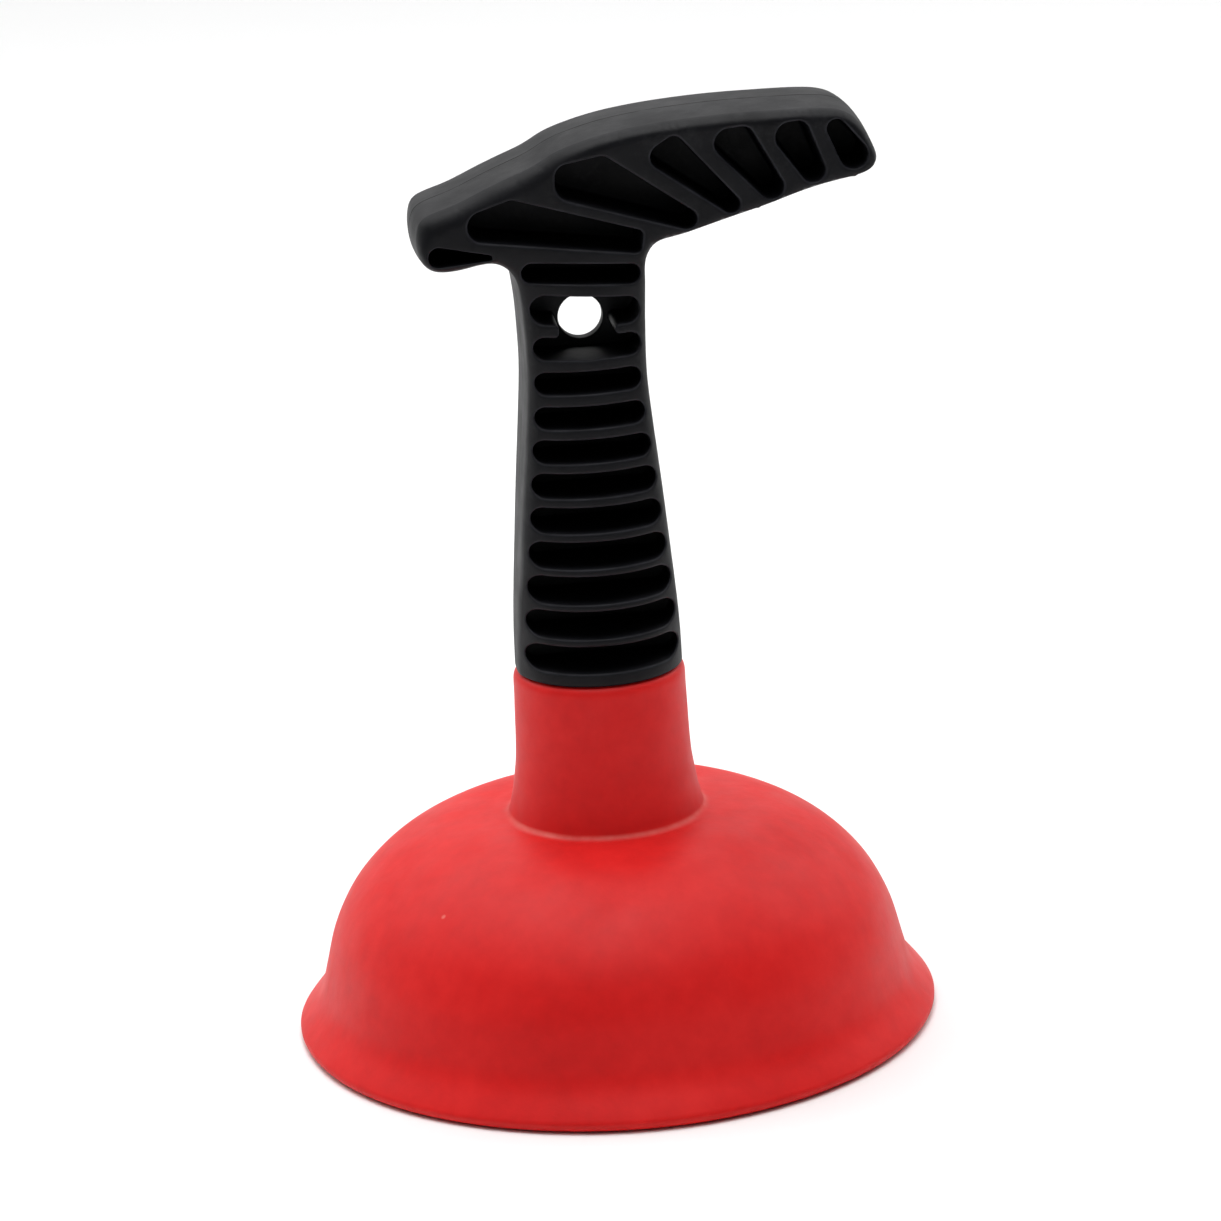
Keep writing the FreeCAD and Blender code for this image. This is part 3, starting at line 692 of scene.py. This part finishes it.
def ramp(nt, fac, stops):
    r = nt.nodes.new("ShaderNodeValToRGB")
    el = r.color_ramp.elements
    while len(el) > 1:
        el.remove(el[-1])
    el[0].position, el[0].color = stops[0]
    for p, col in stops[1:]:
        e = el.new(p)
        e.color = col
    nt.links.new(fac, r.inputs["Fac"])
    return r.outputs["Color"]


def remap_range(nt, fac, a, b, c, d):
    n = nt.nodes.new("ShaderNodeMapRange")
    n.inputs["From Min"].default_value, n.inputs["From Max"].default_value = a, b
    n.inputs["To Min"].default_value, n.inputs["To Max"].default_value = c, d
    nt.links.new(fac, n.inputs["Value"])
    return n.outputs["Result"]


def math_node(nt, op, a, b=None):
    n = nt.nodes.new("ShaderNodeMath")
    n.operation = op
    for i, v in enumerate((a, b)):
        if v is None:
            continue
        if isinstance(v, (int, float)):
            n.inputs[i].default_value = v
        else:
            nt.links.new(v, n.inputs[i])
    return n.outputs[0]


def bump(nt, height_fac, strength, distance, normal=None):
    b = nt.nodes.new("ShaderNodeBump")
    b.inputs["Strength"].default_value = strength
    b.inputs["Distance"].default_value = distance
    nt.links.new(height_fac, b.inputs["Height"])
    if normal is not None:
        nt.links.new(normal, b.inputs["Normal"])
    return b.outputs["Normal"]


def g4(v, a=1.0):
    return (v[0], v[1], v[2], a)


# ---- red rubber
red, nt, bs = new_material("red_rubber_moulded")
tc = nt.nodes.new("ShaderNodeTexCoord").outputs["Object"]
broad = noise(nt, tc, 38.0, 3.0, 0.6)
mottle = noise(nt, tc, 260.0, 4.0, 0.62)
mix1 = math_node(nt, "ADD", math_node(nt, "MULTIPLY", broad, 0.55), math_node(nt, "MULTIPLY", mottle, 0.45))
col = ramp(nt, mix1, [(0.32, (0.610, 0.0052, 0.0048, 1)), (0.50, (0.690, 0.0075, 0.0068, 1)),
                      (0.68, (0.760, 0.0125, 0.0108, 1))])
specks = nt.nodes.new("ShaderNodeTexVoronoi")
specks.inputs["Scale"].default_value = 95.0
nt.links.new(tc, specks.inputs["Vector"])
dot = remap_range(nt, specks.outputs["Distance"], 0.030, 0.055, 1.0, 0.0)
rare = remap_range(nt, noise(nt, tc, 61.0, 1.0, 0.5), 0.66, 0.70, 0.0, 1.0)
spot = math_node(nt, "MULTIPLY", dot, rare)
mixc = nt.nodes.new("ShaderNodeMix")
mixc.data_type = "RGBA"
nt.links.new(spot, mixc.inputs["Factor"])
nt.links.new(col, mixc.inputs[6])
mixc.inputs[7].default_value = (0.80, 0.16, 0.13, 1)
# a painted highlight: the crease round the neck's base is painted paler, where its fillet catches the light
csep = nt.nodes.new("ShaderNodeSeparateXYZ")
nt.links.new(tc, csep.inputs[0])
zc = math_node(nt, "ABSOLUTE", math_node(nt, "SUBTRACT", csep.outputs["Z"], 0.03745))
band = remap_range(nt, zc, 0.00010, 0.00050, 1.0, 0.0)
rad = math_node(nt, "SQRT", math_node(nt, "ADD", math_node(nt, "MULTIPLY", csep.outputs["X"], csep.outputs["X"]),
                                      math_node(nt, "MULTIPLY", csep.outputs["Y"], csep.outputs["Y"])))
near = remap_range(nt, rad, 0.0173, 0.0181, 1.0, 0.0)
uneven = remap_range(nt, noise(nt, tc, 150.0, 3.0, 0.6), 0.35, 0.70, 0.15, 0.75)
crease_painted_highlight = math_node(nt, "MULTIPLY", math_node(nt, "MULTIPLY", band, near), uneven)
mixd = nt.nodes.new("ShaderNodeMix")
mixd.data_type = "RGBA"
nt.links.new(crease_painted_highlight, mixd.inputs["Factor"])
nt.links.new(mixc.outputs[2], mixd.inputs[6])
# the paler colour of the painted crease highlight
mixd.inputs[7].default_value = (0.80, 0.17, 0.14, 1)
nt.links.new(mixd.outputs[2], bs.inputs["Base Color"])
rough = remap_range(nt, noise(nt, tc, 120.0, 4.0, 0.6), 0.3, 0.7, 0.46, 0.58)
nt.links.new(rough, bs.inputs["Roughness"])
grain = noise(nt, tc, 2600.0, 3.0, 0.55)
soft = noise(nt, tc, 420.0, 3.0, 0.5)
n1 = bump(nt, grain, 0.16, 0.00012)
n2 = bump(nt, soft, 0.10, 0.00035, n1)
nt.links.new(n2, bs.inputs["Normal"])
bs.inputs["IOR"].default_value = 1.50
bs.inputs["Specular IOR Level"].default_value = 0.27

# ---- black plastic
blk, nt, bs = new_material("black_polypropylene")
tc = nt.nodes.new("ShaderNodeTexCoord").outputs["Object"]
sep = nt.nodes.new("ShaderNodeSeparateXYZ")
nt.links.new(tc, sep.inputs[0])
cloud = noise(nt, tc, 90.0, 4.0, 0.6)
col = ramp(nt, cloud, [(0.30, (0.0030, 0.0031, 0.0042, 1)), (0.55, (0.0042, 0.0044, 0.0060, 1)),
                       (0.75, (0.0065, 0.0067, 0.0085, 1))])
# paler patches on the top of the grip, a painted sheen, and a dark line of moulding flash along the middle plane
top = remap_range(nt, sep.outputs["Z"], 0.140, 0.150, 0.0, 1.0)
top_painted_sheen = math_node(nt, "MULTIPLY", remap_range(nt, noise(nt, tc, 170.0, 5.0, 0.7), 0.52, 0.75, 0.0, 1.0), top)
mixa = nt.nodes.new("ShaderNodeMix")
mixa.data_type = "RGBA"
nt.links.new(math_node(nt, "MULTIPLY", top_painted_sheen, 0.55), mixa.inputs["Factor"])
nt.links.new(col, mixa.inputs[6])
# the paler colour of the painted sheen on the top of the grip
mixa.inputs[7].default_value = (0.026, 0.026, 0.028, 1)
wander = math_node(nt, "MULTIPLY", math_node(nt, "SUBTRACT", noise(nt, tc, 140.0, 3.0, 0.6), 0.5), 0.0011)
yabs = math_node(nt, "ABSOLUTE", math_node(nt, "ADD", sep.outputs["Y"], wander))
line = remap_range(nt, yabs, 0.00020, 0.00042, 1.0, 0.0)
linemask = math_node(nt, "MULTIPLY", line, remap_range(nt, noise(nt, tc, 160.0, 3.0, 0.6), 0.40, 0.50, 0.25, 1.0))
mixb = nt.nodes.new("ShaderNodeMix")
mixb.data_type = "RGBA"
nt.links.new(linemask, mixb.inputs["Factor"])
nt.links.new(mixa.outputs[2], mixb.inputs[6])
mixb.inputs[7].default_value = (0.0012, 0.0012, 0.0018, 1)
# the rims get a painted highlight: a paler colour, weighted by the rim attribute
rim_highlight_node = nt.nodes.new("ShaderNodeAttribute")
rim_highlight_node.attribute_name = "rim"
patchy = remap_range(nt, noise(nt, tc, 190.0, 3.0, 0.6), 0.35, 0.65, 0.25, 0.80)
mixe = nt.nodes.new("ShaderNodeMix")
mixe.data_type = "RGBA"
nt.links.new(math_node(nt, "MULTIPLY", rim_highlight_node.outputs["Fac"], patchy), mixe.inputs["Factor"])
nt.links.new(mixb.outputs[2], mixe.inputs[6])
mixe.inputs[7].default_value = (0.030, 0.031, 0.038, 1)
nt.links.new(mixe.outputs[2], bs.inputs["Base Color"])
rough = remap_range(nt, noise(nt, tc, 150.0, 4.0, 0.6), 0.3, 0.7, 0.46, 0.57)
nt.links.new(rough, bs.inputs["Roughness"])
grain = noise(nt, tc, 3400.0, 2.0, 0.5)
soft = noise(nt, tc, 520.0, 3.0, 0.5)
scr = nt.nodes.new("ShaderNodeMapping")
scr.inputs["Scale"].default_value = (60.0, 900.0, 900.0)
nt.links.new(tc, scr.inputs["Vector"])
scratch = remap_range(nt, noise(nt, scr.outputs["Vector"], 2.2, 2.0, 0.5), 0.68, 0.74, 0.0, 1.0)
n1 = bump(nt, grain, 0.20, 0.00010)
n2 = bump(nt, soft, 0.10, 0.00030, n1)
n3 = bump(nt, math_node(nt, "MULTIPLY", scratch, top), -0.25, 0.00008, n2)
nt.links.new(n3, bs.inputs["Normal"])
bs.inputs["IOR"].default_value = 1.49
bs.inputs["Specular IOR Level"].default_value = 0.17

cup.data.materials.append(red)
handle.data.materials.append(blk)
for name, mat in (("cup_bell", red), ("cup_neck", red), ("t_handle", blk)):
    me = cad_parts[name].data
    if len(me.materials):
        for i in range(len(me.materials)):
            me.materials[i] = mat
    else:
        me.materials.append(mat)

# ===================================================================================================== frame and ride
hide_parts("cup_bell", "cup_neck")
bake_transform(cup)
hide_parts("t_handle")
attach(handle, "handle")

# ============================================================================================================== stage
bpy.ops.mesh.primitive_plane_add(size=6.0, location=(0, 0, -0.0003))
floor = bpy.context.object
floor.name = "studio_floor"
fm, nt, bs = new_material("studio_floor_pale")
bs.inputs["Base Color"].default_value = (0.92, 0.92, 0.92, 1)
bs.inputs["Roughness"].default_value = 0.9
bs.inputs["Specular IOR Level"].default_value = 0.1
floor.data.materials.append(fm)

bpy.context.scene.view_settings.view_transform = "Standard"
world = bpy.data.worlds.new("studio")
bpy.context.scene.world = world
world.use_nodes = True
wt = world.node_tree
bg = wt.nodes["Background"]
# the studio: a bright wall behind, a bright ceiling and a darker room in front
wdir = wt.nodes.new("ShaderNodeTexCoord").outputs["Generated"]
wsep = wt.nodes.new("ShaderNodeSeparateXYZ")
wt.links.new(wdir, wsep.inputs[0])
wall_l = remap_range(wt, wsep.outputs["Y"], -0.10, 0.85, 0.04, 0.80)
ceil_l = remap_range(wt, wsep.outputs["Z"], 0.45, 0.98, 0.0, 0.70)
left_l = remap_range(wt, wsep.outputs["X"], -0.3, -0.9, 0.0, 0.05)
total = math_node(wt, "ADD", math_node(wt, "ADD", wall_l, ceil_l), left_l)
wt.links.new(total, bg.inputs["Strength"])
bg.inputs["Color"].default_value = (1, 1, 1, 1)


def area(name, loc, target, size, power, size_y=None, color=(1, 1, 1)):
    li = bpy.data.lights.new(name, "AREA")
    li.energy = power
    li.color = color
    li.size = size
    if size_y:
        li.shape = "RECTANGLE"
        li.size_y = size_y
    ob = bpy.data.objects.new(name, li)
    bpy.context.scene.collection.objects.link(ob)
    ob.location = loc
    ob.rotation_euler = (Vector(target) - Vector(loc)).to_track_quat("-Z", "Y").to_euler()
    return ob


C = (0, 0, 0.07)
area("backdrop_softbox", (0.0, 1.9, 1.3), (0.0, 1.9, 0.0), 1.6, 5.0, 0.9)
area("top_softbox", (-0.05, -0.02, 1.15), C, 1.0, 8.5, 0.7)
area("left_softbox", (-0.72, 0.45, 0.85), C, 0.8, 2.7, 0.8)
area("right_softbox", (0.80, 0.35, 0.75), C, 0.6, 2.6, 0.8)

cam_data = bpy.data.cameras.new("camera")
cam = bpy.data.objects.new("camera", cam_data)
bpy.context.scene.collection.objects.link(cam)
bpy.context.scene.camera = cam
cam_data.sensor_width = 36.0
cam_data.lens = 36.0 * 5000.0 / 1221.0
AZ, EL, ROLL, DIST = math.radians(-6.0), math.radians(17.2), math.radians(-3.1), 0.8470
side, target_z = 0.0025, 0.0722
back_dir = Vector((math.sin(AZ) * math.cos(EL), -math.cos(AZ) * math.cos(EL), math.sin(EL)))
right = Vector((math.cos(AZ), math.sin(AZ), 0.0))
up = right.cross(-back_dir)
r2 = math.cos(ROLL) * right + math.sin(ROLL) * up
u2 = -math.sin(ROLL) * right + math.cos(ROLL) * up
pos = right * side + Vector((0, 0, target_z)) + back_dir * DIST
m = Matrix((r2, u2, back_dir)).transposed().to_4x4()
m.translation = pos
cam.matrix_world = m
cam_data.clip_start, cam_data.clip_end = 0.01, 20.0

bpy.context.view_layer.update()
print("scene built in", round(time.time() - T0, 1), "s")
